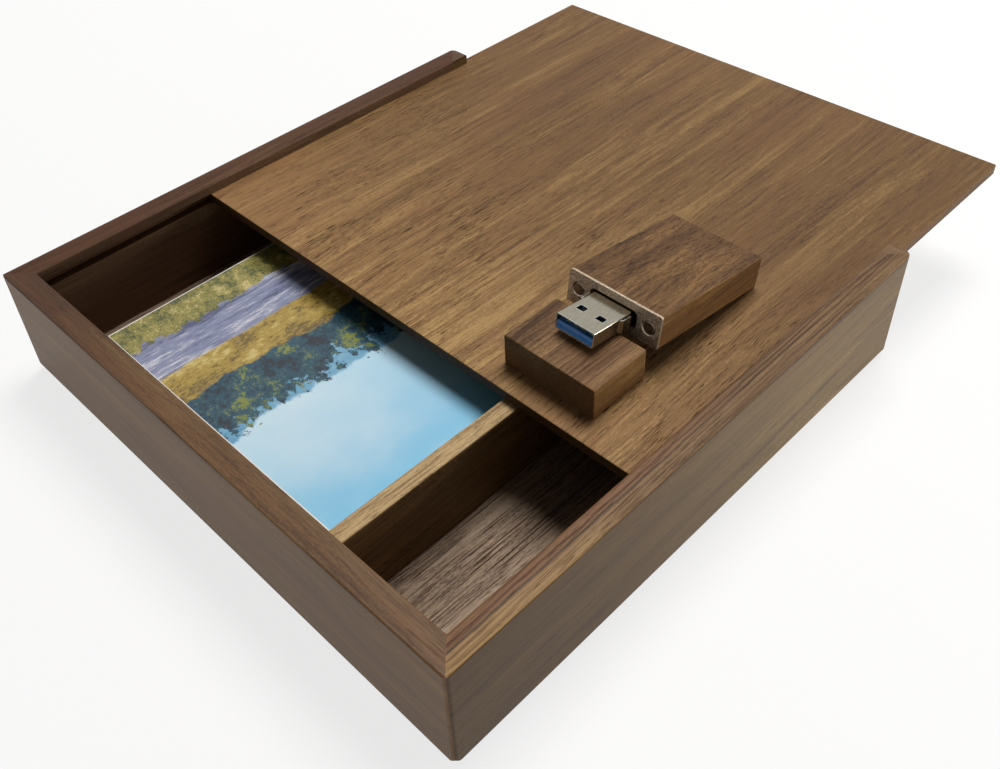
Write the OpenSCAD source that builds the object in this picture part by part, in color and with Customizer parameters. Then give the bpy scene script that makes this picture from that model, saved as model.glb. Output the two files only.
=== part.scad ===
// Walnut keepsake box for photo prints: a mitred frame with a tongued floor, a divider,
// a lid that slides in grooves, a stack of prints, and a wooden flash drive with its cap.
// Millimetres. +Z is up, X runs across the box, and the lid slides along Y.
// The origin is the middle of the box's underside.

/* [Box frame] */
// Outside height of the near wall and the side walls
box_h = 36; // [33:1:60]
// Thickness of the four walls
wall_t = 7; // [6:0.5:9]
// Clear width of the compartment for the flash drive
drive_well_w = 36; // [35:1:60]
// Radius of the frame's two near upright corners
corner_r = 1.2; // [0.3:0.1:2.5]
// Radius of its two rear upright corners, beside the lid's way out
rear_corner_r = 3; // [0.3:0.1:3.5]
// Radius of the round under the outer bottom edges
foot_r = 3; // [0.5:0.1:3.5]
// Radius of the round under the four corners, seen along the diagonal
tip_r = 6; // [3:0.1:8]
// Radius that softens the top edges of the walls and the divider
arris_r = 0.5; // [0.2:0.1:0.8]

/* [Lid] */
// Thickness of the sliding lid
lid_t = 3; // [2:0.1:4]
// How deep the lid's grooves run into the walls
lid_groove_d = 3; // [2:0.1:3.5]
// Height of wall above the lid's groove
lip_h = 3; // [2:0.1:6]
// How far the lid stands open as stored
lid_open = 60; // [0:1:105]
// Radius of the lid's corners in plan
lid_corner_r = 1; // [0.5:0.1:4]
// Radius that softens the lid's edges
lid_arris_r = 0.3; // [0.1:0.1:0.8]

/* [Floor and divider] */
// Thickness of the floor board
floor_t = 5.3; // [4.5:0.1:8]
// Thickness of the tongue round the floor board
floor_tongue_t = 3; // [2:0.1:3.5]
// How deep the floor's tongue runs into the walls
floor_groove_d = 3; // [1.5:0.1:3.5]
// Thickness of the divider
divider_t = 5; // [3:0.5:8]
// How deep the divider's ends are housed in the end walls
housing_d = 2; // [1:0.1:3]

/* [Prints] */
// Short side of a print
print_w = 101.6; // [89:0.1:120]
// Long side of a print
print_l = 152.4; // [127:0.1:180]
// Thickness of one print
print_t = 0.25; // [0.2:0.01:0.3]
// Number of prints in the stack
print_count = 70; // [5:1:80]
// Gap between the prints and the divider
print_gap_x = 0.6; // [0.4:0.1:20]
// Clear width for a finger between the prints and the left wall
finger_room = 22.8; // [1:0.1:40]
// Gap between the prints and the near wall
print_gap_y = 5.2; // [0.5:0.1:20]
// Gap between the prints and the rear wall
print_gap_rear = 3.4; // [0.5:0.1:40]

/* [Flash drive] */
// Width of the drive and of its cap
drive_w = 29; // [27:0.5:34]
// Thickness of the drive and of its cap
drive_h = 9.5; // [9:0.1:12]
// Length of the drive's wooden body with its face plate
drive_l = 43.5; // [41:0.5:60]
// Thickness of the grey face plate
plate_t = 0.8; // [0.5:0.1:1.5]
// Gap between the drive and the right wall
drive_gap_x = 18; // [2:0.5:60]
// Gap between the drive and its cap, as they lie on the lid
drive_gap_y = 3.7; // [3:0.1:6]
// Gap between the cap and the lid's front edge
cap_gap_y = 7.2; // [3:0.1:30]
// Length of the cap
cap_l = 19; // [17.5:0.5:24]
// Distance from a magnet's axis to the side of the drive
magnet_inset = 3.3; // [3:0.1:4]
// Diameter of the disc magnets
magnet_d = 3.5; // [2:0.1:3.6]
// Thickness of the disc magnets
magnet_t = 2; // [1:0.1:3]
// Radius that softens the edges of the drive and its cap
wood_r = 0.4; // [0.2:0.1:1]
// Radius under the drive's rear end
heel_r = 1.2; // [0.3:0.1:2]

/* [Plug] */
// Width of the plug's steel shell
plug_w = 12; // [11.9:0.05:12.1]
// Height of the plug's steel shell
plug_h = 4.5; // [4.4:0.05:4.6]
// How far the plug stands out of the face plate
plug_out = 14.5; // [13:0.1:14.6]
// Thickness of the shell's sheet
shell_t = 0.3; // [0.2:0.05:0.4]
// Thickness of the blue tongue
tongue_t = 1.85; // [1.6:0.05:1.95]
// Distance between the middles of the two latch windows
window_pitch = 6; // [5:0.1:6.5]
// Width of a latch window across the plug
window_w = 2.4; // [2:0.1:3]
// Length of a latch window along the plug
window_l = 2; // [1.5:0.1:2.5]
// Distance from the plug's mouth to the middles of the windows
window_mid = 6; // [4:0.1:7]
// How far a spring wing stands out of the shell's side
wing_out = 0.7; // [0.5:0.05:0.9]
// Length of a spring wing
wing_l = 3.7; // [2.5:0.1:4]

/* [Hidden] */
$fn = 64;

// Clearances
run_gap = 0.1;       // above and below the lid in its grooves
side_gap = 0.5;      // beside the lid in its grooves
glue_gap = 0.2;      // at the edges of the floor board and the ends of the divider
top_gap = 0.3;       // between the divider and the lid
rest_gap = 0.05;     // under the tilted drive's rear edge, and under its plug
plug_gap = 0.35;     // round the plug in the cap's pocket
board_gap = 0.3;     // round the circuit board in the drive's pocket
bore_gap = 0.05;     // round a magnet in its bore
window_gap = 0.1;    // above and below a spring wing in the shell's side window
cut = 1;             // how far a cutting shape runs past the face that it opens

// Places in the frame
print_well_w = finger_room + print_w + print_gap_x;
well_l = print_gap_y + print_l + print_gap_rear;
in_x = (print_well_w + divider_t + drive_well_w) / 2;
in_y = well_l / 2;
box_w = 2 * (in_x + wall_t);
box_l = 2 * (in_y + wall_t);
groove_top = box_h - lip_h;
groove_bottom = groove_top - lid_t - 2 * run_gap;
lid_z = groove_bottom + run_gap;
lid_top = lid_z + lid_t;
divider_x = -in_x + print_well_w;
divider_top = groove_bottom - top_gap;

// Lid: shut, its rear edge is flush with the rear of the box
lid_w = 2 * (in_x + lid_groove_d - side_gap);
lid_shut_y = -in_y - lid_groove_d + side_gap;
lid_l = box_l / 2 - lid_shut_y;
lid_y = lid_shut_y + lid_open;

// Prints: each is shifted and turned by a little of its own
print_shift = 0.15;
print_turn = 0.12;

// Drive and cap
drive_x = in_x - drive_gap_x - drive_w / 2;
cap_y = lid_y + cap_gap_y;
end_r = 0.3;         // at the closed end of the drive and of the cap
magnet_sink = 0.2;   // how far a magnet lies below the face that it shows in
magnet_r = 0.35;     // at the rims of a magnet
bore_chamfer = 0.25; // round a magnet's bore in the face plate
pocket_end = 0.6;    // space in front of the plug in the cap's pocket

// Face plate: the opening for the plug
mouth_side_gap = 1.5;
mouth_top_gap = 0.4;
mouth_r = 1.5;

// Plug: its level in the drive's thickness, its seam, its wings and what lies inside it
plug_z = (drive_h - plug_h) / 2;
shell_r = 0.45;
seam_w = 0.12;
shell_in = 5;        // how far the shell reaches in behind the front of the face plate
wing_end = 1.4;      // gap between a wing's free end and the face plate
wing_h = 3.6;
tongue_sink = 0.25;  // how far the tongue lies inside the mouth
tongue_chamfer = 0.45;
front_pads = 4;
front_pad_pitch = 2.5;
front_pad_w = 1.2;
front_pad_l = 6.6;
rear_pads = 5;
rear_pad_pitch = 2;
rear_pad_w = 0.7;
rear_pad_l = 1.4;
pad_t = 0.12;
pad_inset = 1.8;     // gap between the tongue's front and the long pads
pad_row_gap = 1.2;   // gap between the two rows of pads

// Circuit board, with its nose inside the plug's shell
board_w = 14;
board_l = 32;
board_t = 0.8;
board_nose_w = 8;
controller_l = 6;
controller_y = 9;
memory_w = 12;
memory_l = 14;
memory_y = 17;
chip_t = 0.9;
part_z = plug_z + shell_t + tongue_t;

// Tilt of the drive. Its rear bottom edge is on the lid and its plug is on the cap's rear
// top edge, which lies prop_run ahead of that rear edge and prop_rise above it.
prop_run = drive_l + drive_gap_y;
prop_rise = drive_h + rest_gap;
drive_tilt = atan2(prop_rise, prop_run) - asin(plug_z / norm([prop_run, prop_rise]));
drive_rear_y = cap_y + cap_l + prop_run;

// Cutter that rounds a corner at the origin whose material lies towards +X and +Y
module round_off(r) {
    difference() {
        translate([-cut, -cut]) square(r + cut);
        translate([r, r]) circle(r);
    }
}

// A rectangle about the origin with round corners
module rounded_rect(w, l, r) {
    difference() {
        square([w, l], center = true);
        for (sx = [-1, 1], sy = [-1, 1])
            scale([sx, sy]) translate([-w / 2, -l / 2]) round_off(r);
    }
}

// A block as high as the frame, l long along Y, round under its two long edges
module footed_block(w, l, r) {
    translate([0, l / 2, 0]) rotate([90, 0, 0]) linear_extrude(l) difference() {
        translate([-w / 2, 0]) square([w, box_h]);
        for (s = [-1, 1]) scale([s, 1]) translate([-w / 2, 0]) round_off(r);
    }
}

// The space that the frame fills: round upright corners, and a round under each edge
// and, square to the diagonals, under each corner
module frame_envelope() {
    diagonal = (box_w + box_l) / sqrt(2);
    intersection() {
        linear_extrude(box_h) difference() {
            rounded_rect(box_w, box_l, corner_r);
            for (s = [-1, 1])
                scale([s, -1]) translate([-box_w / 2, -box_l / 2]) round_off(rear_corner_r);
        }
        footed_block(box_w, box_l, foot_r);
        rotate([0, 0, 90]) footed_block(box_l, box_w, foot_r);
        rotate([0, 0, 45]) footed_block(diagonal, diagonal, tip_r);
        rotate([0, 0, -45]) footed_block(diagonal, diagonal, tip_r);
    }
}

// Section of a wall, with its outer face at x = 0 and its inner face at x = wall_t
module wall_section() {
    difference() {
        square([wall_t, box_h]);
        translate([0, box_h]) scale([1, -1]) round_off(arris_r);
        translate([wall_t, box_h]) scale([-1, -1]) round_off(arris_r);
        translate([wall_t - lid_groove_d, groove_bottom])
            square([lid_groove_d + cut, groove_top - groove_bottom]);
        translate([wall_t - floor_groove_d, floor_t - floor_tongue_t])
            square([floor_groove_d + cut, floor_tongue_t]);
    }
}

// A wall along X, its outer face at y = 0, with both ends mitred at 45 degrees
module mitred_wall(len) {
    intersection() {
        translate([-len / 2, 0, 0]) rotate([90, 0, 90]) linear_extrude(len) wall_section();
        linear_extrude(box_h)
            polygon([[-len / 2, 0], [len / 2, 0],
                     [len / 2 - wall_t, wall_t], [-len / 2 + wall_t, wall_t]]);
    }
}

// The near wall before its edges are rounded
module end_wall() {
    difference() {
        translate([0, -box_l / 2, 0]) mitred_wall(box_w);
        housing();
    }
}

module side_wall() {
    intersection() {
        translate([-box_w / 2, 0, 0]) rotate([0, 0, -90]) mitred_wall(box_l);
        frame_envelope();
    }
}

// The divider's housing in the near wall, from the floor up into the lid's groove
module housing() {
    translate([divider_x, -in_y - housing_d, floor_t])
        cube([divider_t, housing_d + cut, (groove_bottom + groove_top) / 2 - floor_t]);
}

module near_wall() {
    color("#6f5339") intersection() {
        end_wall();
        frame_envelope();
    }
}

// Between the side walls the rear wall stops below the lid, which slides out over it
module rear_wall() {
    slot_x = in_x + lid_groove_d;
    color("#66503c") difference() {
        intersection() {
            mirror([0, 1, 0]) end_wall();
            frame_envelope();
        }
        translate([-in_x, 0, groove_bottom]) cube([2 * in_x, box_l, box_h]);
        translate([-slot_x, 0, groove_bottom])
            cube([2 * slot_x, box_l, groove_top - groove_bottom]);
    }
}

module left_wall() {
    color("#6a4f3a") side_wall();
}

module right_wall() {
    color("#6a4f3a") mirror([1, 0, 0]) side_wall();
}

// The floor board is flush under the box, and its tongue runs in a groove in every wall
module floor_board() {
    reach = floor_groove_d - glue_gap;
    color("#7a6a58") {
        translate([-in_x + glue_gap, -in_y + glue_gap, 0])
            cube([2 * (in_x - glue_gap), 2 * (in_y - glue_gap), floor_t]);
        translate([-in_x - reach, -in_y - reach, floor_t - floor_tongue_t])
            cube([2 * (in_x + reach), 2 * (in_y + reach), floor_tongue_t]);
    }
}

module divider() {
    len = 2 * (in_y + housing_d - glue_gap);
    rise = divider_top - floor_t;
    color("#8d7350") translate([divider_x, len / 2, floor_t]) rotate([90, 0, 0])
        linear_extrude(len) difference() {
            square([divider_t, rise]);
            translate([0, rise]) scale([1, -1]) round_off(arris_r);
            translate([divider_t, rise]) scale([-1, -1]) round_off(arris_r);
        }
}

module lid() {
    color("#85694a") translate([0, lid_y + lid_l / 2, lid_z + lid_t / 2]) intersection() {
        linear_extrude(lid_t, center = true) rounded_rect(lid_w, lid_l, lid_corner_r);
        rotate([90, 0, 0]) linear_extrude(lid_l, center = true)
            rounded_rect(lid_w, lid_t, lid_arris_r);
        rotate([90, 0, 90]) linear_extrude(lid_w, center = true)
            rounded_rect(lid_l, lid_t, lid_arris_r);
    }
}

// Print i of the stack, counted from the floor
module print_at(i) {
    translate([divider_x - print_gap_x - print_w / 2 + print_shift * sin(137.5 * i),
               -in_y + print_gap_y + print_l / 2 + print_shift * cos(111 * i),
               floor_t + (i + 0.5) * print_t])
        rotate([0, 0, print_turn * sin(67 * i)])
            cube([print_w, print_l, print_t], center = true);
}

module print_stack() {
    color("#e9e6df") for (i = [0 : print_count - 2]) print_at(i);
}

module top_print() {
    color("#9fc3dd") print_at(print_count - 1);
}

// Carries a piece from the drive's own frame, with the face plate's front at y = 0 and the
// underside at z = 0, to its place on the lid, tilted about the rear bottom edge
module place_drive() {
    translate([drive_x, drive_rear_y, lid_top + rest_gap]) rotate([-drive_tilt, 0, 0])
        translate([0, -drive_l, 0]) children();
}

// The same for the cap, which has its closed end at y = 0
module place_cap() {
    translate([drive_x, cap_y, lid_top]) children();
}

// A block of the drive's section from its open end at y = 0 to its closed end at y = l,
// where the edges are softened, the bottom one by the radius low_r
module wood_block(l, low_r) {
    difference() {
        translate([0, l, drive_h / 2]) rotate([90, 0, 0])
            linear_extrude(l) rounded_rect(drive_w, drive_h, wood_r);
        for (s = [-1, 1])
            translate([s * drive_w / 2, l, -cut]) linear_extrude(drive_h + 2 * cut)
                scale([-s, -1]) round_off(end_r);
        translate([-drive_w, l, drive_h]) rotate([90, 0, 90]) linear_extrude(2 * drive_w)
            scale([-1, -1]) round_off(end_r);
        translate([-drive_w, l, 0]) rotate([90, 0, 90]) linear_extrude(2 * drive_w)
            scale([-1, 1]) round_off(low_r);
    }
}

// What stands at both magnets' axes, its own axis turned along +Y from y
module at_magnets(y) {
    for (s = [-1, 1])
        translate([s * (drive_w / 2 - magnet_inset), y, drive_h / 2])
            rotate([-90, 0, 0]) children();
}

module magnet_bores(y, len) {
    at_magnets(y) cylinder(d = magnet_d + 2 * bore_gap, h = len);
}

// A disc with round rims
module magnet() {
    rotate_extrude() difference() {
        square([magnet_d / 2, magnet_t]);
        translate([magnet_d / 2, 0]) scale([-1, 1]) round_off(magnet_r);
        translate([magnet_d / 2, magnet_t]) scale([-1, -1]) round_off(magnet_r);
    }
}

module drive_body() {
    pocket_w = board_w + 2 * board_gap;
    pocket_h = plug_h + 2 * mouth_top_gap;
    pocket_l = board_l + board_gap;
    color("#70543c") place_drive() difference() {
        wood_block(drive_l, heel_r);
        translate([-drive_w, -cut, -cut]) cube([2 * drive_w, cut + plate_t, drive_h + 2 * cut]);
        translate([-pocket_w / 2, 0, (drive_h - pocket_h) / 2])
            cube([pocket_w, pocket_l, pocket_h]);
        magnet_bores(0, magnet_sink + magnet_t);
    }
}

module drive_face_plate() {
    bore_d = magnet_d + 2 * bore_gap;
    color("#6d645a") place_drive() difference() {
        translate([0, plate_t, drive_h / 2]) rotate([90, 0, 0])
            linear_extrude(plate_t) difference() {
                rounded_rect(drive_w, drive_h, wood_r);
                rounded_rect(plug_w + 2 * mouth_side_gap, plug_h + 2 * mouth_top_gap, mouth_r);
            }
        magnet_bores(-cut, plate_t + 2 * cut);
        at_magnets(-bore_chamfer)
            cylinder(d1 = bore_d + 4 * bore_chamfer, d2 = bore_d, h = 2 * bore_chamfer);
    }
}

module drive_magnets() {
    color("#4c4a48") place_drive() at_magnets(magnet_sink) magnet();
}

// Folded sheet sleeve: two latch windows above and below, a seam below, a wing each side
module plug_shell() {
    shell_l = plug_out + shell_in;
    wing_y = plug_out - wing_end - wing_l;
    color("#b9b7ae") place_drive() translate([0, -plug_out, drive_h / 2]) {
        difference() {
            translate([0, shell_l, 0]) rotate([90, 0, 0]) linear_extrude(shell_l)
                difference() {
                    rounded_rect(plug_w, plug_h, shell_r);
                    square([plug_w - 2 * shell_t, plug_h - 2 * shell_t], center = true);
                }
            for (s = [-1, 1])
                translate([s * window_pitch / 2 - window_w / 2, window_mid - window_l / 2,
                           -plug_h])
                    cube([window_w, window_l, 2 * plug_h]);
            for (s = [-1, 1])
                translate([s * plug_w / 2, wing_y + shell_t + wing_l / 2, 0])
                    cube([3 * shell_t, wing_l, wing_h + 2 * window_gap], center = true);
            translate([-seam_w / 2, -cut, -plug_h])
                cube([seam_w, shell_l + 2 * cut, plug_h]);
        }
        for (side = [0, 1])
            mirror([side, 0, 0]) translate([plug_w / 2, wing_y, -wing_h / 2])
                linear_extrude(wing_h) wing_plan();
    }
}

// A wing leaves the shell's side at y = 0, slants out and runs on beside the shell
module wing_plan() {
    slant = wing_out + shell_t;
    polygon([[-shell_t, 0], [0, 0], [wing_out, wing_out], [wing_out, wing_l],
             [wing_out - shell_t, wing_l], [wing_out - shell_t, slant],
             [-shell_t, 2 * shell_t]]);
}

// The tongue fills the lower half of the shell and carries the contacts on top
module plug_tongue() {
    tongue_w = plug_w - 2 * shell_t;
    tongue_l = plug_out - tongue_sink;
    color("#2f6fae") place_drive() translate([-tongue_w / 2, -tongue_l, plug_z + shell_t])
        rotate([90, 0, 90]) linear_extrude(tongue_w)
            polygon([[0, 0], [tongue_l, 0], [tongue_l, tongue_t],
                     [tongue_chamfer, tongue_t], [0, tongue_t - tongue_chamfer]]);
}

// A row of flat contacts on the tongue, starting at y
module pad_row(count, pitch, w, l, y) {
    for (i = [0 : count - 1])
        translate([(i - (count - 1) / 2) * pitch - w / 2, y, part_z]) cube([w, l, pad_t]);
}

module plug_contacts() {
    front_y = -plug_out + tongue_sink + pad_inset;
    color("#c9a24a") place_drive() {
        pad_row(front_pads, front_pad_pitch, front_pad_w, front_pad_l, front_y);
        pad_row(rear_pads, rear_pad_pitch, rear_pad_w, rear_pad_l,
                front_y + front_pad_l + pad_row_gap);
    }
}

module circuit_board() {
    shoulder_y = shell_in + board_gap;
    color("#2c5a3c") place_drive() translate([0, 0, part_z - board_t]) {
        translate([-board_nose_w / 2, 0, 0]) cube([board_nose_w, board_l, board_t]);
        translate([-board_w / 2, shoulder_y, 0])
            cube([board_w, board_l - shoulder_y, board_t]);
    }
}

module controller_chip() {
    color("#222222") place_drive() translate([-controller_l / 2, controller_y, part_z])
        cube([controller_l, controller_l, chip_t]);
}

module memory_chip() {
    color("#262626") place_drive() translate([-memory_w / 2, memory_y, part_z])
        cube([memory_w, memory_l, chip_t]);
}

module cap_body() {
    pocket_w = plug_w + 2 * (wing_out + plug_gap);
    pocket_h = plug_h + 2 * plug_gap;
    pocket_l = plug_out + pocket_end;
    bore_l = magnet_t + magnet_sink;
    color("#6b4f3a") place_cap() difference() {
        translate([0, cap_l, 0]) mirror([0, 1, 0]) wood_block(cap_l, end_r);
        translate([-pocket_w / 2, cap_l - pocket_l, (drive_h - pocket_h) / 2])
            cube([pocket_w, pocket_l + cut, pocket_h]);
        magnet_bores(cap_l - bore_l, bore_l + cut);
    }
}

module cap_magnets() {
    color("#4c4a48") place_cap() at_magnets(cap_l - magnet_t - magnet_sink) magnet();
}

near_wall();
rear_wall();
left_wall();
right_wall();
floor_board();
divider();
lid();
print_stack();
top_print();
drive_body();
drive_face_plate();
drive_magnets();
plug_shell();
plug_tongue();
plug_contacts();
circuit_board();
controller_chip();
memory_chip();
cap_body();
cap_magnets();
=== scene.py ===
import math
import bpy
from mathutils import Matrix, Vector


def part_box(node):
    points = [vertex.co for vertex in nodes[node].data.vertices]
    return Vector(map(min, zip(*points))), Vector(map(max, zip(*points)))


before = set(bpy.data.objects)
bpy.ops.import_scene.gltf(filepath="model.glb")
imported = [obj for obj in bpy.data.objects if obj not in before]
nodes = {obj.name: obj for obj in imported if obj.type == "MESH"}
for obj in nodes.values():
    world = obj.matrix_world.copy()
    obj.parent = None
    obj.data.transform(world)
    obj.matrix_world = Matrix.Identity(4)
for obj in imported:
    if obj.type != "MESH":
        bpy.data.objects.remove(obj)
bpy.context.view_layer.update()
scene = bpy.context.scene
print("frame loaded:", len(nodes), "pieces")


# Helpers for shader nodes. A value in inputs is a number, a colour or another node's output.
def feed(tree, made, inputs):
    for key, value in inputs.items():
        if isinstance(value, bpy.types.NodeSocket):
            tree.links.new(value, made.inputs[key])
        else:
            made.inputs[key].default_value = value


def place(tree, kind, inputs=None, **options):
    made = tree.nodes.new("ShaderNode" + kind)
    for name, value in options.items():
        setattr(made, name, value)
    feed(tree, made, inputs or {})
    return made


def calc(tree, operation, first, second=0.0, clamp=False):
    made = place(tree, "Math", {0: first, 1: second}, operation=operation, use_clamp=clamp)
    return made.outputs[0]


def centred(tree, value, strength):
    # a value from 0 to 1 becomes one round 0, strength wide
    return calc(tree, "MULTIPLY", calc(tree, "SUBTRACT", value, 0.5), strength)


def ramp(tree, value, start, end, low=0.0, high=1.0):
    # smooth step from low to high while value goes from start to end
    inputs = {0: value, 1: start, 2: end, 3: low, 4: high}
    return place(tree, "MapRange", inputs, interpolation_type="SMOOTHSTEP").outputs[0]


def blendColors(tree, amount, first, second, mode="MIX"):
    # sockets 6 and 7 are the colour inputs of a Mix node, and output 2 is its colour
    inputs = {0: amount, 6: first, 7: second}
    return place(tree, "Mix", inputs, data_type="RGBA", blend_type=mode).outputs[2]


def splitAxes(tree, vector):
    return place(tree, "SeparateXYZ", {0: vector}).outputs


def faceNormal(tree):
    return splitAxes(tree, place(tree, "NewGeometry").outputs["Normal"])


def stretch(tree, vector, scale, shift=(0, 0, 0)):
    return place(tree, "Mapping", {"Vector": vector, "Scale": scale, "Location": shift}).outputs[0]


def noise(tree, vector, scale=1.0, detail=2.0, rough=0.5):
    inputs = {"Vector": vector, "Scale": scale, "Detail": detail, "Roughness": rough}
    return place(tree, "TexNoise", inputs).outputs[0]


softLevels = (0.3, 0.7)      # a noise texture lies mostly between these
hardLevels = (0.35, 0.65)


def objectMm(tree):
    # the row's own frame in millimetres; it moves with the body
    spot = place(tree, "TexCoord").outputs["Object"]
    return stretch(tree, spot, (1000, 1000, 1000))


def srgb(red, green, blue):
    def linear(value):
        value = value / 255
        return value / 12.92 if value <= 0.04045 else ((value + 0.055) / 1.055) ** 2.4
    return (linear(red), linear(green), linear(blue), 1.0)


def newGroup(name, inputs, outputs):
    group = bpy.data.node_groups.new(name, "ShaderNodeTree")
    for label, kind, value in inputs:
        socket = group.interface.new_socket(label, in_out="INPUT",
                                            socket_type="NodeSocket" + kind)
        if value is not None:
            socket.default_value = value
    for label, kind in outputs:
        group.interface.new_socket(label, in_out="OUTPUT", socket_type="NodeSocket" + kind)
    start = group.nodes.new("NodeGroupInput")
    end = group.nodes.new("NodeGroupOutput")
    return group, start.outputs, end.inputs


def useGroup(tree, group, inputs):
    made = tree.nodes.new("ShaderNodeGroup")
    made.node_tree = group
    feed(tree, made, inputs)
    return made.outputs


def newMaterial(name, plain):
    # plain holds the shader's own constant numbers
    material = bpy.data.materials.new(name)
    material.use_nodes = True
    tree = material.node_tree
    shader = tree.nodes["Principled BSDF"]
    for key, value in plain.items():
        shader.inputs[key].default_value = value
    return material, tree, shader


def bumpFrom(tree, height, strength, distance):
    # distance in millimetres
    inputs = {"Height": height, "Strength": strength, "Distance": distance / 1000}
    return place(tree, "Bump", inputs).outputs[0]


def dress(material, *names):
    for name in names:
        piece = nodes[name]
        if not piece.material_slots:
            piece.data.materials.append(material)
        for slot in piece.material_slots:
            slot.material = material


# Camera
cameraLook = {
    "location": (0.1761, -0.1534, 0.2198),
    "azimuth": 47.064,     # degrees, 0 looks along +Y
    "elevation": 41.236,
    "roll": -3.112,
    "lens": 38.89,
    "sensor": 36,
    "shift": (0.0188, -0.0651),
    "clipStart": 0.005,
}


def makeCamera(look):
    data = bpy.data.cameras.new("camera")
    data.sensor_width = look["sensor"]
    data.lens = look["lens"]
    data.shift_x, data.shift_y = look["shift"]
    data.clip_start = look["clipStart"]
    camera = bpy.data.objects.new("camera", data)
    turn = (Matrix.Rotation(math.radians(look["azimuth"]), 4, "Z")
            @ Matrix.Rotation(math.radians(90 - look["elevation"]), 4, "X")
            @ Matrix.Rotation(math.radians(look["roll"]), 4, "Z"))
    camera.matrix_world = Matrix.Translation(look["location"]) @ turn
    scene.collection.objects.link(camera)
    scene.camera = camera


makeCamera(cameraLook)
print("camera placed")

# Floor, backdrop and lamps
studioLook = {
    "floorWidth": 6.0,
    "floorDrop": 0.0002,          # a hair below the box, so that the two faces don't fight
    "floorColor": (0.94, 0.94, 0.93, 1),
    "shadowKept": 0.22,           # share of the object's shadow that the camera sees
    "skyColor": (1.0, 0.985, 0.96, 1),
    "skyStrength": 0.055,
    "horizonStrength": 0.42,      # added near the horizon, as from pale walls
    "horizonTop": 0.5,            # where that has faded out; straight up is 1
    "lamps": {
        # name: (place in metres, width in metres, watts, colour)
        "topLamp": ((-0.16, 0.5, 1.3), 0.6, 18.0, (1.0, 0.985, 0.96)),
        "sideLamp": ((0.38, 0.32, 0.06), 0.2, 1.2, (1.0, 0.98, 0.95)),
    },
}


def seenDirectly(tree):
    # 1 for camera, mirror and glass rays
    path = place(tree, "LightPath").outputs
    seen = calc(tree, "MAXIMUM", path["Is Camera Ray"], path["Is Glossy Ray"])
    return calc(tree, "MAXIMUM", seen, path["Is Transmission Ray"])


def makeStudio(look):
    half = look["floorWidth"] / 2
    mesh = bpy.data.meshes.new("studioFloor")
    low = -look["floorDrop"]
    corners = [(-half, -half, low), (half, -half, low), (half, half, low), (-half, half, low)]
    mesh.from_pydata(corners, [], [(0, 1, 2, 3)])
    floor = bpy.data.objects.new("studioFloor", mesh)
    scene.collection.objects.link(floor)
    material = bpy.data.materials.new("floorPaper")
    material.use_nodes = True
    tree = material.node_tree
    tree.nodes.clear()
    lit = place(tree, "BsdfDiffuse", {"Color": look["floorColor"]}).outputs[0]
    white = place(tree, "Emission", {"Color": (1, 1, 1, 1), "Strength": 1.0}).outputs[0]
    amount = calc(tree, "MULTIPLY", seenDirectly(tree), 1 - look["shadowKept"])
    mixed = place(tree, "MixShader", {0: amount, 1: lit, 2: white}).outputs[0]
    place(tree, "OutputMaterial", {"Surface": mixed})
    mesh.materials.append(material)

    world = bpy.data.worlds.new("studioSky")
    scene.world = world
    world.use_nodes = True
    tree = world.node_tree
    tree.nodes.clear()
    rise = splitAxes(tree, place(tree, "TexCoord").outputs["Generated"])[2]
    glow = ramp(tree, rise, look["horizonTop"], 0.0, look["skyStrength"],
                look["skyStrength"] + look["horizonStrength"])
    light = place(tree, "Background", {"Color": look["skyColor"], "Strength": glow})
    white = place(tree, "Background", {"Color": (1, 1, 1, 1), "Strength": 1.0})
    mixed = place(tree, "MixShader", {0: seenDirectly(tree), 1: light.outputs[0],
                                      2: white.outputs[0]}).outputs[0]
    place(tree, "OutputWorld", {"Surface": mixed})

    for name, (spot, width, watts, color) in look["lamps"].items():
        lamp = bpy.data.lights.new(name, "AREA")
        lamp.size = width
        lamp.energy = watts
        lamp.color = color
        holder = bpy.data.objects.new(name, lamp)
        holder.location = spot
        holder.rotation_euler = (-Vector(spot)).to_track_quat("-Z", "Y").to_euler()
        holder.visible_camera = False
        scene.collection.objects.link(holder)

    scene.view_settings.view_transform = "Standard"


makeStudio(studioLook)
print("studio lit")


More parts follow.
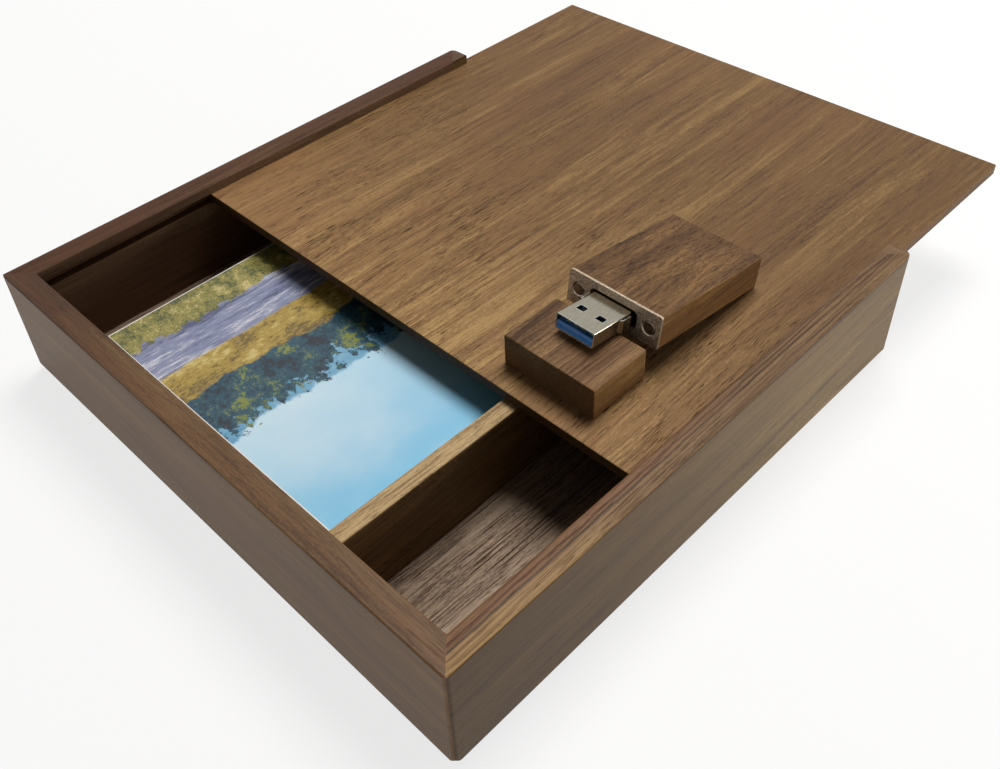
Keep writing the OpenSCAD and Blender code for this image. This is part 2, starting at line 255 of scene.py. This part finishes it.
# Shared effects
grainLook = {
    # textures: cells to a millimetre across the grain and along it, detail, place in the noise
    "drift": (0.02, 0.006, 2.0, (0, 0, 0)),
    "ripple": (0.08, 0.04, 1.0, (5, 2, 8)),
    "streak": (0.9, 0.02, 3.0, (0, 0, 0)),
    "fibre": (5.0, 0.14, 2.0, (4, 4, 4)),
    "fleck": (2.2, 0.9, 2.0, (1, 8, 5)),
    "patch": (0.04, 0.014, 2.0, (7, 3, 1)),
    "dashes": (4.2, 0.14, 1.0, (2, 6, 3)),
    "crowd": (0.09, 0.025, 2.0, (3, 9, 2)),
    "longLines": (2.0, 0.022, 2.0, (9, 1, 6)),
    "driftBy": 12.0,                 # how far the grain bends, in millimetres
    "rippleBy": 1.2,
    "bandStretch": 0.05,             # a band's width, as a share of its length
    "bandNoise": (3.0, 0.55),        # detail and roughness
    "bandContrast": 2.8,
    "streakContrast": 2.0,
    "fibreContrast": 1.1,
    "fleckContrast": 1.1,
    "growthLine": (0.53, 0.014, 0.3),    # level of the bands, width, darkness
    "darkTo": (-0.1, 0.5),           # tones between which dark turns into the middle colour
    "lightFrom": (0.5, 1.1),         # and the middle colour into the light one
    "redFrom": (0.42, 0.66),         # levels of the patches
    "redMost": 0.6,
    "upright": (0.55, 0.85),         # how much a face turns before it's a side or an end
    "poreLevel": 0.79,               # a dash above this level is a pore
    "poreCrowding": 0.34,            # how much lower that level is in a crowd
    "poreSoftness": 0.06,
    "lineLevels": (0.48, 0.37),      # long lines lie below these
    "poreTint": srgb(122, 106, 92),
    "endEvenness": 0.75,             # end grain is more even
    "fibreHeight": 0.5,              # raised fibre, against a pore's depth of 1
}


def makeGrainGroup(look):
    # Vector is in millimetres: X across the grain, Y along it, Z through the board
    group, given, out = newGroup("walnutGrain", [
        ("Vector", "Vector", None),
        ("Dark", "Color", srgb(60, 40, 26)),
        ("Middle", "Color", srgb(110, 82, 56)),
        ("Light", "Color", srgb(150, 120, 78)),
        ("Red", "Color", srgb(115, 78, 55)),
        ("Band Width", "Float", 9.0),
        ("Bands", "Float", 1.0),
        ("Streaks", "Float", 1.0),
        ("Lines", "Float", 0.3),           # long dark lines
        ("Pores", "Float", 0.6),
        ("Side Pores", "Float", 0.3),      # share of the pores on upright faces
        ("Side Tone", "Color", (1, 1, 1, 1)),
        ("End Tone", "Color", (1, 1, 1, 1)),
        ("Runs Along X", "Float", 0.0),    # 1 on a board whose grain runs along X
    ], [("Color", "Color"), ("Pore Mask", "Float"), ("Height", "Float")])

    def texture(name, vector, rough=0.6):
        across, along, detail, shift = look[name]
        cells = stretch(group, vector, (across, along, across), shift)
        return noise(group, cells, 1.0, detail, rough)

    # the grain bends slowly, and ripples a little
    drift = centred(group, texture("drift", given["Vector"], 0.5), look["driftBy"])
    ripple = centred(group, texture("ripple", given["Vector"], 0.5), look["rippleBy"])
    drift = calc(group, "ADD", drift, ripple)
    shift = place(group, "CombineXYZ", {0: drift, 1: 0.0, 2: drift}).outputs[0]
    bent = place(group, "VectorMath", {0: given["Vector"], 1: shift}, operation="ADD").outputs[0]

    # bands, streaks and fibres make the tone
    narrowed = stretch(group, bent, (1, look["bandStretch"], 1))
    wide = calc(group, "DIVIDE", 1.0, given["Band Width"])
    band = place(group, "VectorMath", {0: narrowed, "Scale": wide}, operation="SCALE").outputs[0]
    broad = noise(group, band, 1.0, *look["bandNoise"])
    fibre = texture("fibre", bent)
    level, width, darkness = look["growthLine"]
    line = calc(group, "ABSOLUTE", calc(group, "SUBTRACT", broad, level))
    line = ramp(group, line, width, 0.0, 0.0, darkness)
    fine = calc(group, "ADD", centred(group, texture("streak", bent), look["streakContrast"]),
                centred(group, fibre, look["fibreContrast"]))
    fine = calc(group, "ADD", fine, centred(group, texture("fleck", bent), look["fleckContrast"]))
    tone = calc(group, "MULTIPLY", centred(group, broad, look["bandContrast"]), given["Bands"])
    tone = calc(group, "ADD", tone, calc(group, "MULTIPLY", fine, given["Streaks"]))
    tone = calc(group, "ADD", calc(group, "SUBTRACT", tone, line), 0.5)
    color = blendColors(group, ramp(group, tone, *look["darkTo"]), given["Dark"], given["Middle"])
    color = blendColors(group, ramp(group, tone, *look["lightFrom"]), color, given["Light"])
    redness = ramp(group, texture("patch", bent), *look["redFrom"], 0.0, look["redMost"])
    color = blendColors(group, redness, color, given["Red"])

    # which faces are sides and which are end grain
    facing = [calc(group, "ABSOLUTE", axis) for axis in faceNormal(group)]
    endsAlongY = calc(group, "SUBTRACT", 1.0, given["Runs Along X"])
    ends = calc(group, "ADD", calc(group, "MULTIPLY", facing[0], given["Runs Along X"]),
                calc(group, "MULTIPLY", facing[1], endsAlongY))
    leaning, upright = look["upright"]
    onEnds = ramp(group, ends, leaning, upright)
    onSides = ramp(group, facing[2], upright, leaning)
    onSides = calc(group, "SUBTRACT", onSides, onEnds, clamp=True)

    # pores stand in crowds, as short dashes
    crowding = calc(group, "MULTIPLY", texture("crowd", bent), look["poreCrowding"])
    edge = calc(group, "SUBTRACT", look["poreLevel"], crowding)
    pores = calc(group, "SUBTRACT", texture("dashes", bent), edge)
    pores = ramp(group, pores, 0.0, look["poreSoftness"])
    pores = calc(group, "MULTIPLY", pores, given["Pores"])
    share = place(group, "MapRange", {0: onSides, 3: 1.0, 4: given["Side Pores"]}).outputs[0]
    lines = ramp(group, texture("longLines", bent), *look["lineLevels"])
    lines = calc(group, "MULTIPLY", lines, given["Lines"])
    shade = calc(group, "MULTIPLY", calc(group, "MAXIMUM", pores, lines), share)

    evenness = calc(group, "MULTIPLY", onEnds, look["endEvenness"])
    color = blendColors(group, evenness, color, given["Middle"])
    for amount, tint in ((shade, look["poreTint"]), (onSides, given["Side Tone"]),
                         (onEnds, given["End Tone"])):
        color = blendColors(group, amount, color, tint, "MULTIPLY")
    height = calc(group, "SUBTRACT", calc(group, "MULTIPLY", fibre, look["fibreHeight"]), shade)
    group.links.new(color, out["Color"])
    group.links.new(shade, out["Pore Mask"])
    group.links.new(height, out["Height"])
    return group


stripeLook = {
    "waverBy": 4.0,              # millimetres, where Waver is 1
    "waverScale": 0.045,         # waves to a millimetre
    "gapScale": 0.2,             # gaps to a millimetre
    "gapLevels": (0.2, 0.55),
}


def makeStripeGroup(look):
    # a wavering stripe; Vector is in millimetres, X across the stripe and Y along it
    group, given, out = newGroup("woodStripe", [
        ("Vector", "Vector", None),
        ("Color", "Color", (1, 1, 1, 1)),
        ("Tint", "Color", (1, 1, 1, 1)),
        ("Centre", "Float", 0.0),
        ("Width", "Float", 1.0),
        ("Softness", "Float", 0.3),
        ("Waver", "Float", 0.5),
        ("Seed", "Float", 0.0),
        ("Strength", "Float", 1.0),
        ("Lowest", "Float", 35.0),         # the heights between which it's seen
        ("Highest", "Float", 200.0),
        ("Fades From", "Float", 500.0),    # places along the stripe
        ("Fades To", "Float", 600.0),
    ], [("Color", "Color")])
    axes = splitAxes(group, given["Vector"])
    path = place(group, "CombineXYZ", {0: axes[1], 1: given["Seed"]}).outputs[0]
    wave = centred(group, noise(group, path, look["waverScale"], 4.0, 0.6), look["waverBy"])
    wave = calc(group, "MULTIPLY", wave, given["Waver"])
    away = calc(group, "SUBTRACT", axes[0], calc(group, "ADD", wave, given["Centre"]))
    away = calc(group, "ABSOLUTE", away)
    half = calc(group, "MULTIPLY", given["Width"], 0.5)
    fade = calc(group, "MULTIPLY", given["Softness"], 0.5)
    outer = calc(group, "ADD", half, fade)
    inner = calc(group, "SUBTRACT", half, fade)
    gaps = calc(group, "SUBTRACT", 1.0, given["Waver"])
    parts = [
        ramp(group, away, outer, inner),
        ramp(group, noise(group, path, look["gapScale"], 2.0), *look["gapLevels"], gaps),
        ramp(group, axes[1], given["Fades To"], given["Fades From"]),
        calc(group, "GREATER_THAN", axes[2], given["Lowest"]),
        calc(group, "LESS_THAN", axes[2], given["Highest"]),
    ]
    mask = given["Strength"]
    for part in parts:
        mask = calc(group, "MULTIPLY", mask, part)
    color = blendColors(group, mask, given["Color"], given["Tint"], "MULTIPLY")
    group.links.new(color, out["Color"])
    return group


edgeLook = {
    "samples": 4,
    "bend": (0.995, 0.85),       # from a flat face to an edge
    "gapScale": 0.35,            # gaps to a millimetre
    "gapLevels": (0.3, 0.6),
    "leastWearAndHighlight": 0.35,           # of an edge, in its gaps
}


def makeEdgeGroup(look):
    # a broken mask along edges, used for worn edges and for painted highlights; Radius is in
    # metres
    group, given, out = newGroup("edgeWearAndHighlight", [
        ("Vector", "Vector", None),
        ("Radius", "Float", 0.0006),
        ("Amount", "Float", 0.6),
    ], [("Mask", "Float")])
    soft = place(group, "Bevel", {"Radius": given["Radius"]}, samples=look["samples"]).outputs[0]
    flat = place(group, "NewGeometry").outputs["Normal"]
    match = place(group, "VectorMath", {0: soft, 1: flat}, operation="DOT_PRODUCT")
    edge = ramp(group, match.outputs["Value"], *look["bend"])
    gaps = noise(group, given["Vector"], look["gapScale"], 3.0, 0.6)
    broken = ramp(group, gaps, *look["gapLevels"], look["leastWearAndHighlight"], 1.0)
    mask = calc(group, "MULTIPLY", calc(group, "MULTIPLY", edge, broken), given["Amount"])
    group.links.new(mask, out["Mask"])
    return group


grainGroup = makeGrainGroup(grainLook)
stripeGroup = makeStripeGroup(stripeLook)
edgeGroup = makeEdgeGroup(edgeLook)
print("shared effects built")

# Walnut
boardAlongY = 0.0
boardAlongX = 1.0
# heights between which a stripe is seen
anywhere = (-1.0, 200.0)
wallTop = (35.2, 200.0)
wallSide = (-1.0, 35.2)
endless = (500.0, 600.0)     # beyond both ends of every board


def stripe(centre, width, softness, waver, tint, strength, heights, reach=endless):
    # a darker or lighter stripe, in millimetres; reach is where it starts and ends to fade
    return {"Centre": centre, "Width": width, "Softness": softness, "Waver": waver,
            "Tint": (*tint, 1), "Strength": strength, "Lowest": heights[0],
            "Highest": heights[1], "Fades From": reach[0], "Fades To": reach[1]}


walnutLooks = {
    # stripes run along the grain, and fades lie across it; tones, edges and tints multiply
    "lidWalnut": {
        "nodes": ["lid"], "run": boardAlongY, "shift": (31, 0, 0),
        "dark": srgb(82, 58, 36), "middle": srgb(114, 85, 53), "light": srgb(143, 113, 72),
        "red": srgb(112, 81, 52), "band": 9.0, "bands": 0.75, "streaks": 0.8, "lines": 0.3,
        "pores": 1.0, "sidePores": 1.0,
        "sideTone": (0.75, 0.72, 0.7), "endTone": (0.15, 0.13, 0.12),
        "thinning": (10.0, 110.0, 0.35),     # fewer pores and lines towards the rear
        "edge": (1.25, 1.25, 1.3), "rough": 0.5, "gloss": 0.12,
        "stripes": [
            stripe(85.0, 10.0, 110.0, 0.0, (0.72, 0.72, 0.68), 1.0, anywhere, (150.0, 50.0)),
        ],
        # painted light: the lid turns lighter and greyer towards its front end
        "fades": [stripe(-23.0, 80.0, 140.0, 0.0, (1.82, 1.92, 1.98), 1.0, anywhere)],
    },
    "nearWallWalnut": {
        "nodes": ["near_wall"], "run": boardAlongX, "shift": (9, 40, 0),
        "dark": srgb(74, 52, 33), "middle": srgb(110, 84, 56), "light": srgb(134, 108, 74),
        "red": srgb(112, 82, 56), "band": 7.0, "bands": 0.7, "streaks": 0.6, "lines": 0.25,
        "pores": 0.5, "sidePores": 0.15,
        "sideTone": (1.03, 0.92, 0.6), "endTone": (1.03, 0.92, 0.6),
        "edge": (1.4, 1.35, 1.3), "rough": 0.45, "gloss": 0.2,
        "stripes": [
            stripe(-85.2, 3.2, 1.2, 0.4, (1.1, 0.98, 0.9), 0.7, wallTop),
            stripe(-86.6, 0.4, 0.3, 0.6, (0.6, 0.55, 0.52), 0.5, wallTop),
        ],
        "fades": [stripe(-88.0, 100.0, 80.0, 0.0, (0.42, 0.31, 0.25), 1.0, wallTop)],
    },
    "rearWallWalnut": {
        "nodes": ["rear_wall"], "run": boardAlongX, "shift": (50, 10, 0),
        "dark": srgb(76, 55, 36), "middle": srgb(112, 85, 56), "light": srgb(138, 110, 74),
        "red": srgb(110, 82, 55), "band": 7.0, "bands": 0.7, "streaks": 0.6, "lines": 0.25,
        "pores": 0.5, "sidePores": 0.2,
        "sideTone": (0.72, 0.68, 0.5), "endTone": (0.72, 0.68, 0.5),
        "edge": (1.4, 1.35, 1.3), "rough": 0.45, "gloss": 0.18,
        "fades": [stripe(-88.0, 40.0, 80.0, 0.0, (0.5, 0.42, 0.38), 1.0, wallTop)],
    },
    "leftWallWalnut": {
        "nodes": ["left_wall"], "run": boardAlongY, "shift": (5, 60, 0),
        "dark": srgb(54, 35, 24), "middle": srgb(82, 55, 37), "light": srgb(102, 74, 51),
        "red": srgb(84, 53, 37), "band": 6.0, "bands": 0.7, "streaks": 0.6, "lines": 0.25,
        "pores": 0.45, "sidePores": 0.2,
        # painted light: the upright faces and ends are made lighter, lifting the deep shade on the
        # inner face
        "sideTone": (1.4, 1.75, 2.0), "endTone": (1.4, 1.75, 2.0),
        "edge": (1.4, 1.35, 1.35), "rough": 0.48, "gloss": 0.1,
    },
    "rightWallWalnut": {
        "nodes": ["right_wall"], "run": boardAlongY, "shift": (2, 20, 0),
        "dark": srgb(78, 56, 37), "middle": srgb(116, 88, 58), "light": srgb(142, 114, 76),
        "red": srgb(114, 85, 57), "band": 6.0, "bands": 0.6, "streaks": 0.7, "lines": 0.5,
        "pores": 0.6, "sidePores": 0.2,
        "sideTone": (0.45, 0.42, 0.27), "endTone": (0.45, 0.42, 0.27),
        "edge": (1.4, 1.35, 1.3), "rough": 0.42, "gloss": 0.16,
        "stripes": [
            stripe(84.3, 2.6, 0.7, 0.3, (1.1, 0.86, 0.7), 0.8, wallTop, (-40.0, 40.0)),
            stripe(88.2, 3.2, 0.5, 0.35, (2.0, 2.12, 1.85), 0.9, wallTop, (-75.0, -5.0)),
            stripe(84.9, 0.45, 0.3, 0.4, (0.48, 0.36, 0.28), 0.9, wallTop),
            stripe(86.1, 0.5, 0.3, 0.35, (0.4, 0.34, 0.28), 0.9, wallTop),
            stripe(87.4, 0.25, 0.2, 0.35, (0.42, 0.36, 0.3), 0.7, wallTop),
            stripe(88.5, 0.25, 0.2, 0.3, (0.45, 0.4, 0.34), 0.6, wallTop),
            stripe(83.6, 0.25, 0.2, 0.3, (0.5, 0.42, 0.38), 0.6, wallTop),
        ],
        # painted reflection: the upright faces grow lighter and greyer towards the rear, as the
        # pale surroundings mirrored at a grazing angle
        "fades": [stripe(40.0, 34.0, 220.0, 0.0, (3.5, 4.3, 5.9), 1.0, wallSide)],
    },
    "floorWalnut": {
        "nodes": ["floor_board"], "run": boardAlongY, "shift": (80, 15, 0),
        "dark": srgb(98, 80, 65), "middle": srgb(156, 134, 113), "light": srgb(186, 166, 143),
        "red": srgb(150, 127, 108), "band": 8.0, "bands": 0.5, "streaks": 1.0, "lines": 0.9,
        "pores": 0.9, "sidePores": 1.0,
        "sideTone": (1, 1, 1), "endTone": (1, 1, 1),
        "edge": (1.1, 1.1, 1.1), "rough": 0.6, "gloss": 0.15,
    },
    "dividerWalnut": {
        "nodes": ["divider"], "run": boardAlongY, "shift": (12, 30, 0),
        "dark": srgb(124, 95, 62), "middle": srgb(186, 157, 114), "light": srgb(210, 183, 138),
        "red": srgb(180, 150, 108), "band": 4.0, "bands": 0.5, "streaks": 1.0, "lines": 0.5,
        "pores": 0.7, "sidePores": 0.2,
        # painted shade: the upright sides are much darker than the top, as shade in the narrow
        # compartments
        "sideTone": (0.38, 0.33, 0.28), "endTone": (0.7, 0.68, 0.65),
        "edge": (1.15, 1.15, 1.2), "rough": 0.5, "gloss": 0.12,
    },
    "driveWalnut": {
        "nodes": ["drive_body"], "run": boardAlongY, "shift": (64, 5, 0),
        "dark": srgb(70, 48, 30), "middle": srgb(102, 75, 47), "light": srgb(132, 100, 64),
        "red": srgb(100, 71, 46), "band": 7.0, "bands": 1.0, "streaks": 1.0, "lines": 0.5,
        "pores": 0.6, "sidePores": 0.2,
        "sideTone": (1.3, 1.26, 1.05), "endTone": (0.7, 0.68, 0.62),
        "edge": (1.8, 1.7, 1.6), "rough": 0.5, "gloss": 0.1,
    },
    "capWalnut": {
        "nodes": ["cap_body"], "run": boardAlongY, "shift": (20, 44, 0),
        "dark": srgb(74, 51, 32), "middle": srgb(116, 87, 57), "light": srgb(152, 119, 80),
        "red": srgb(114, 82, 55), "band": 5.0, "bands": 0.9, "streaks": 1.1, "lines": 0.5,
        "pores": 0.7, "sidePores": 0.2,
        "sideTone": (1.05, 1.04, 0.86), "endTone": (0.72, 0.72, 0.7),
        "edge": (2.2, 2.1, 2.0), "rough": 0.5, "gloss": 0.12,
    },
}


walnutFinish = {
    "shader": {"IOR": 1.48},
    # lighter edges: partly worn arrises, partly a painted highlight
    "wearAndHighlight": {"Radius": 0.0005, "Amount": 0.6},
    "poreRoughness": 0.2,        # added in the pores
    "bump": (0.35, 0.1),         # strength, and depth in millimetres
    "seedStep": 37.0,            # between one stripe's waver and the next one's
}


def makeWalnut(name, look, finish):
    material, tree, shader = newMaterial(name, {
        "Specular IOR Level": look["gloss"], **finish["shader"]})
    spot = objectMm(tree)
    axes = splitAxes(tree, spot)
    turned = place(tree, "CombineXYZ", {0: axes[1], 1: axes[0], 2: axes[2]}).outputs[0]
    alongGrain, acrossGrain = (turned, spot) if look["run"] == boardAlongY else (spot, turned)
    share = 1.0
    if "thinning" in look:
        start, end, left = look["thinning"]
        share = ramp(tree, axes[1], start, end, 1.0, left)
    grain = useGroup(tree, grainGroup, {
        "Vector": stretch(tree, acrossGrain, (1, 1, 1), look["shift"]),
        "Dark": look["dark"], "Middle": look["middle"], "Light": look["light"],
        "Red": look["red"], "Band Width": look["band"], "Bands": look["bands"],
        "Streaks": look["streaks"], "Lines": calc(tree, "MULTIPLY", share, look["lines"]),
        "Pores": calc(tree, "MULTIPLY", share, look["pores"]), "Side Pores": look["sidePores"],
        "Side Tone": (*look["sideTone"], 1), "End Tone": (*look["endTone"], 1),
        "Runs Along X": look["run"]})
    color = grain["Color"]
    marks = [(acrossGrain, mark) for mark in look.get("stripes", [])]
    marks += [(alongGrain, mark) for mark in look.get("fades", [])]
    for count, (vector, mark) in enumerate(marks):
        color = useGroup(tree, stripeGroup, {
            "Vector": vector, "Color": color, "Seed": finish["seedStep"] * count, **mark})["Color"]
    # edges turn lighter: partly worn arrises, partly a painted highlight
    wearAndHighlightMask = useGroup(tree, edgeGroup, {"Vector": spot, **finish["wearAndHighlight"]})["Mask"]
    color = blendColors(tree, wearAndHighlightMask, color, (*look["edge"], 1), "MULTIPLY")
    rough = calc(tree, "MULTIPLY", grain["Pore Mask"], finish["poreRoughness"])
    rough = calc(tree, "ADD", rough, look["rough"])
    tree.links.new(color, shader.inputs["Base Color"])
    tree.links.new(rough, shader.inputs["Roughness"])
    tree.links.new(bumpFrom(tree, grain["Height"], *finish["bump"]), shader.inputs["Normal"])
    dress(material, *look["nodes"])


for name, look in walnutLooks.items():
    makeWalnut(name, look, walnutFinish)
print("walnut boards finished")

# Prints
printLook = {
    "border": 0.35,              # white edge of the paper, in millimetres
    "paper": srgb(236, 233, 226),
    "paperShade": srgb(196, 190, 180),
    "sheetScale": (0.05, 0.05, 4.0),
    "paperRough": (0.5, 0.65),
    "gloss": {"Roughness": 0.32},
    "curl": (0.12, 0.2, 0.2),    # waves to a millimetre, strength, depth in millimetres
    "sky": (srgb(190, 223, 240), srgb(124, 194, 230)),     # low and high
    "skyBlend": (0.5, 1.0),
    "cloud": srgb(226, 238, 244),
    "cloudScale": 0.03,          # clouds to a millimetre
    "cloudLevels": (0.46, 0.8),
    "cloudMost": 0.5,
    "skyline": 0.006,            # softness of a layer's upper edge
    "twigScale": 0.3,            # twigs to a millimetre, along that edge
    "clumpContrast": 1.5,
    "leafContrast": 1.3,
    "leavesInClump": 6,
    "shadeTo": (-0.24, 0.02),    # contrast at which shade turns into the middle colour
    "lightFrom": (0.06, 0.32),   # and the middle colour into the light one
    "ridgeSeeds": (3, 11.0),     # the first layer's, and the step to the next
    "mottleSeeds": (2, 5.0),
    # from the back to the front: level and swing of the upper edge as shares of the picture's
    # height, waves across, fray, size of the mottling in millimetres, its squeeze, and three
    # colours from shade to light
    "layers": [
        {"level": 0.58, "swing": 0.16, "waves": 4, "fray": 0.03, "size": 14.0,
         "squeeze": (1, 0.4, 1),
         "colors": (srgb(92, 150, 188), srgb(112, 166, 198), srgb(132, 180, 206))},
        {"level": 0.55, "swing": 0.34, "waves": 14, "fray": 0.34, "size": 7.0,
         "squeeze": (1, 1, 1),
         "colors": (srgb(4, 16, 30), srgb(20, 70, 88), srgb(128, 136, 52))},
        {"level": 0.38, "swing": 0.14, "waves": 5, "fray": 0.05, "size": 7.0,
         "squeeze": (1, 0.5, 1),
         "colors": (srgb(104, 84, 34), srgb(170, 142, 62), srgb(206, 184, 116))},
        {"level": 0.26, "swing": 0.05, "waves": 4, "fray": 0.02, "size": 5.0,
         "squeeze": (1, 0.12, 1),
         "colors": (srgb(78, 84, 116), srgb(132, 138, 168), srgb(214, 214, 222))},
        {"level": 0.12, "swing": 0.10, "waves": 8, "fray": 0.12, "size": 4.0,
         "squeeze": (1, 1, 1),
         "colors": (srgb(66, 76, 36), srgb(138, 130, 62), srgb(200, 184, 122))},
    ],
}


def makePicture(look):
    material, tree, shader = newMaterial("printPicture", look["gloss"])
    low, high = (corner * 1000 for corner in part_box("top_print"))
    wide, long = high.x - low.x, high.y - low.y
    spot = objectMm(tree)
    page = stretch(tree, spot, (1, 1, 1), (-low.x, -low.y, 0))
    axes = splitAxes(tree, page)
    up = calc(tree, "DIVIDE", axes[0], wide)     # the picture's foot is at the left wall

    def ridge(layer, seed):
        # 1 below a wavy line across the picture, broken up by fray
        line = stretch(tree, page, (0, layer["waves"] / long, 0), (seed, seed, seed))
        line = centred(tree, noise(tree, line, 1.0, 4.0, 0.6), layer["swing"])
        twigs = stretch(tree, page, (1, 1, 1), (seed, 0, seed))
        twigs = noise(tree, twigs, look["twigScale"], 6.0, 0.7)
        twigs = centred(tree, twigs, layer["fray"])
        line = calc(tree, "ADD", calc(tree, "ADD", line, twigs), layer["level"])
        soft = look["skyline"]
        return ramp(tree, calc(tree, "SUBTRACT", line, up), -soft, soft)

    def mottled(layer, seed):
        shade, middle, light = layer["colors"]
        clumps = stretch(tree, page, layer["squeeze"], (seed, seed, 0))
        clumps = noise(tree, clumps, 1 / layer["size"], 4.0, 0.65)
        leaves = stretch(tree, page, layer["squeeze"], (0, seed, seed))
        leaves = noise(tree, leaves, look["leavesInClump"] / layer["size"], 4.0, 0.8)
        spots = calc(tree, "ADD", centred(tree, clumps, look["clumpContrast"]),
                     centred(tree, leaves, look["leafContrast"]))
        color = blendColors(tree, ramp(tree, spots, *look["shadeTo"]), shade, middle)
        return blendColors(tree, ramp(tree, spots, *look["lightFrom"]), color, light)

    picture = blendColors(tree, ramp(tree, up, *look["skyBlend"]), *look["sky"])
    clouds = stretch(tree, page, (1, 0.6, 1))
    clouds = noise(tree, clouds, look["cloudScale"], 5.0, 0.55)
    clouds = ramp(tree, clouds, *look["cloudLevels"], 0.0, look["cloudMost"])
    picture = blendColors(tree, clouds, picture, look["cloud"])
    ridgeSeed, ridgeStep = look["ridgeSeeds"]
    mottleSeed, mottleStep = look["mottleSeeds"]
    for count, layer in enumerate(look["layers"]):
        mask = ridge(layer, ridgeSeed + ridgeStep * count)
        color = mottled(layer, mottleSeed + mottleStep * count)
        picture = blendColors(tree, mask, picture, color)
    inside = calc(tree, "GREATER_THAN", faceNormal(tree)[2], 0.5)
    for axis, span in ((axes[0], wide), (axes[1], long)):
        fromMiddle = calc(tree, "ABSOLUTE", calc(tree, "SUBTRACT", axis, span / 2))
        clear = calc(tree, "LESS_THAN", fromMiddle, span / 2 - look["border"])
        inside = calc(tree, "MULTIPLY", inside, clear)
    color = blendColors(tree, inside, look["paper"], picture)
    scale, strength, depth = look["curl"]
    curl = bumpFrom(tree, noise(tree, spot, scale), strength, depth)
    tree.links.new(color, shader.inputs["Base Color"])
    tree.links.new(curl, shader.inputs["Normal"])
    dress(material, "top_print")


def makePaper(look):
    material, tree, shader = newMaterial("printPaper", {})
    sheets = noise(tree, stretch(tree, objectMm(tree), look["sheetScale"]), 1.0, 1.0)
    color = ramp(tree, sheets, *hardLevels)
    color = blendColors(tree, color, look["paperShade"], look["paper"])
    rough = ramp(tree, sheets, *softLevels, *look["paperRough"])
    tree.links.new(color, shader.inputs["Base Color"])
    tree.links.new(rough, shader.inputs["Roughness"])
    dress(material, "print_stack")


makePicture(printLook)
makePaper(printLook)
print("prints finished")

# Drive: plate, magnets, plug and electronics
# the radius of the edges that take the edge colour is in metres, and bump is in millimetres; on
# the plug shell and the magnets that edge colour is a painted highlight
metalLooks = {
    "facePlate": {
        "nodes": ["drive_face_plate"], "color": (srgb(108, 95, 80), srgb(184, 167, 147)),
        "rough": (0.4, 0.6), "grain": (3.0, 3.0, 3.0), "bump": 0.05,
        "wearAndHighlight": 0.0002, "edge": srgb(80, 72, 61),
    },
    "plugSteel": {
        "nodes": ["plug_shell"], "color": (srgb(146, 141, 126), srgb(154, 149, 133)),
        "rough": (0.16, 0.22), "grain": (3.0, 0.3, 3.0), "bump": 0.03,
        # near-white edges: a painted highlight
        "wearAndHighlight": 0.0003, "edge": srgb(250, 248, 244),
    },
    "magnetNickel": {
        "nodes": ["drive_magnets", "cap_magnets"],
        "color": (srgb(96, 86, 74), srgb(124, 112, 98)),
        "rough": (0.25, 0.4), "grain": (2.0, 2.0, 2.0), "bump": 0.03,
        # light rims round the magnets: a painted highlight
        "wearAndHighlight": 0.0004, "edge": srgb(210, 204, 196),
    },
    "contactGold": {
        "nodes": ["plug_contacts"], "color": (srgb(200, 160, 70), srgb(226, 190, 100)),
        "rough": (0.2, 0.35), "grain": (2.0, 0.4, 2.0), "bump": 0.02,
        "wearAndHighlight": 0.0001, "edge": srgb(240, 214, 140),
    },
}
plasticLooks = {
    "blueTongue": {
        "nodes": ["plug_tongue"], "color": (srgb(40, 132, 222), srgb(52, 144, 230)),
        # pale edge on the tongue: a painted highlight
        "rough": (0.3, 0.38), "size": 1.5, "bump": 0.02, "edge": srgb(214, 232, 246),
    },
    "boardGreen": {
        "nodes": ["circuit_board"], "color": (srgb(22, 74, 46), srgb(34, 98, 60)),
        "rough": (0.3, 0.45), "size": 0.8, "bump": 0.03, "edge": srgb(150, 150, 90),
    },
    "chipBlack": {
        "nodes": ["controller_chip", "memory_chip"],
        "color": (srgb(24, 24, 25), srgb(40, 40, 42)),
        "rough": (0.5, 0.65), "size": 0.3, "bump": 0.03, "edge": srgb(70, 70, 72),
    },
}
# edges of the plastics; on the blue tongue their colour is a painted highlight
plasticWearAndHighlight = {"Radius": 0.0003, "Amount": 0.9}
speckBump = 0.3              # strength of the bump on metal and plastic


def makeSpeckled(material, tree, shader, look, texture, levels, wearAndHighlight):
    # a fine texture turns into colour, roughness and bump, and the edges take the edge colour: a
    # painted highlight on the plug shell, the tongue and the magnets
    color = blendColors(tree, ramp(tree, texture, *levels), *look["color"])
    wearAndHighlightMask = useGroup(tree, edgeGroup, {"Vector": objectMm(tree), **wearAndHighlight})["Mask"]
    color = blendColors(tree, wearAndHighlightMask, color, look["edge"])
    rough = ramp(tree, texture, *softLevels, *look["rough"])
    tree.links.new(color, shader.inputs["Base Color"])
    tree.links.new(rough, shader.inputs["Roughness"])
    tree.links.new(bumpFrom(tree, texture, speckBump, look["bump"]), shader.inputs["Normal"])
    dress(material, *look["nodes"])


def makeMetal(name, look):
    material, tree, shader = newMaterial(name, {"Metallic": 1.0})
    brushed = noise(tree, stretch(tree, objectMm(tree), look["grain"]), 1.0, 3.0, 0.6)
    wearAndHighlight = {"Radius": look["wearAndHighlight"], "Amount": 1.0}
    makeSpeckled(material, tree, shader, look, brushed, hardLevels, wearAndHighlight)


def makePlastic(name, look):
    material, tree, shader = newMaterial(name, {"IOR": 1.5})
    speckle = noise(tree, objectMm(tree), 1 / look["size"], 3.0, 0.7)
    makeSpeckled(material, tree, shader, look, speckle, softLevels, plasticWearAndHighlight)


for name, look in metalLooks.items():
    makeMetal(name, look)
for name, look in plasticLooks.items():
    makePlastic(name, look)
print("drive finished")
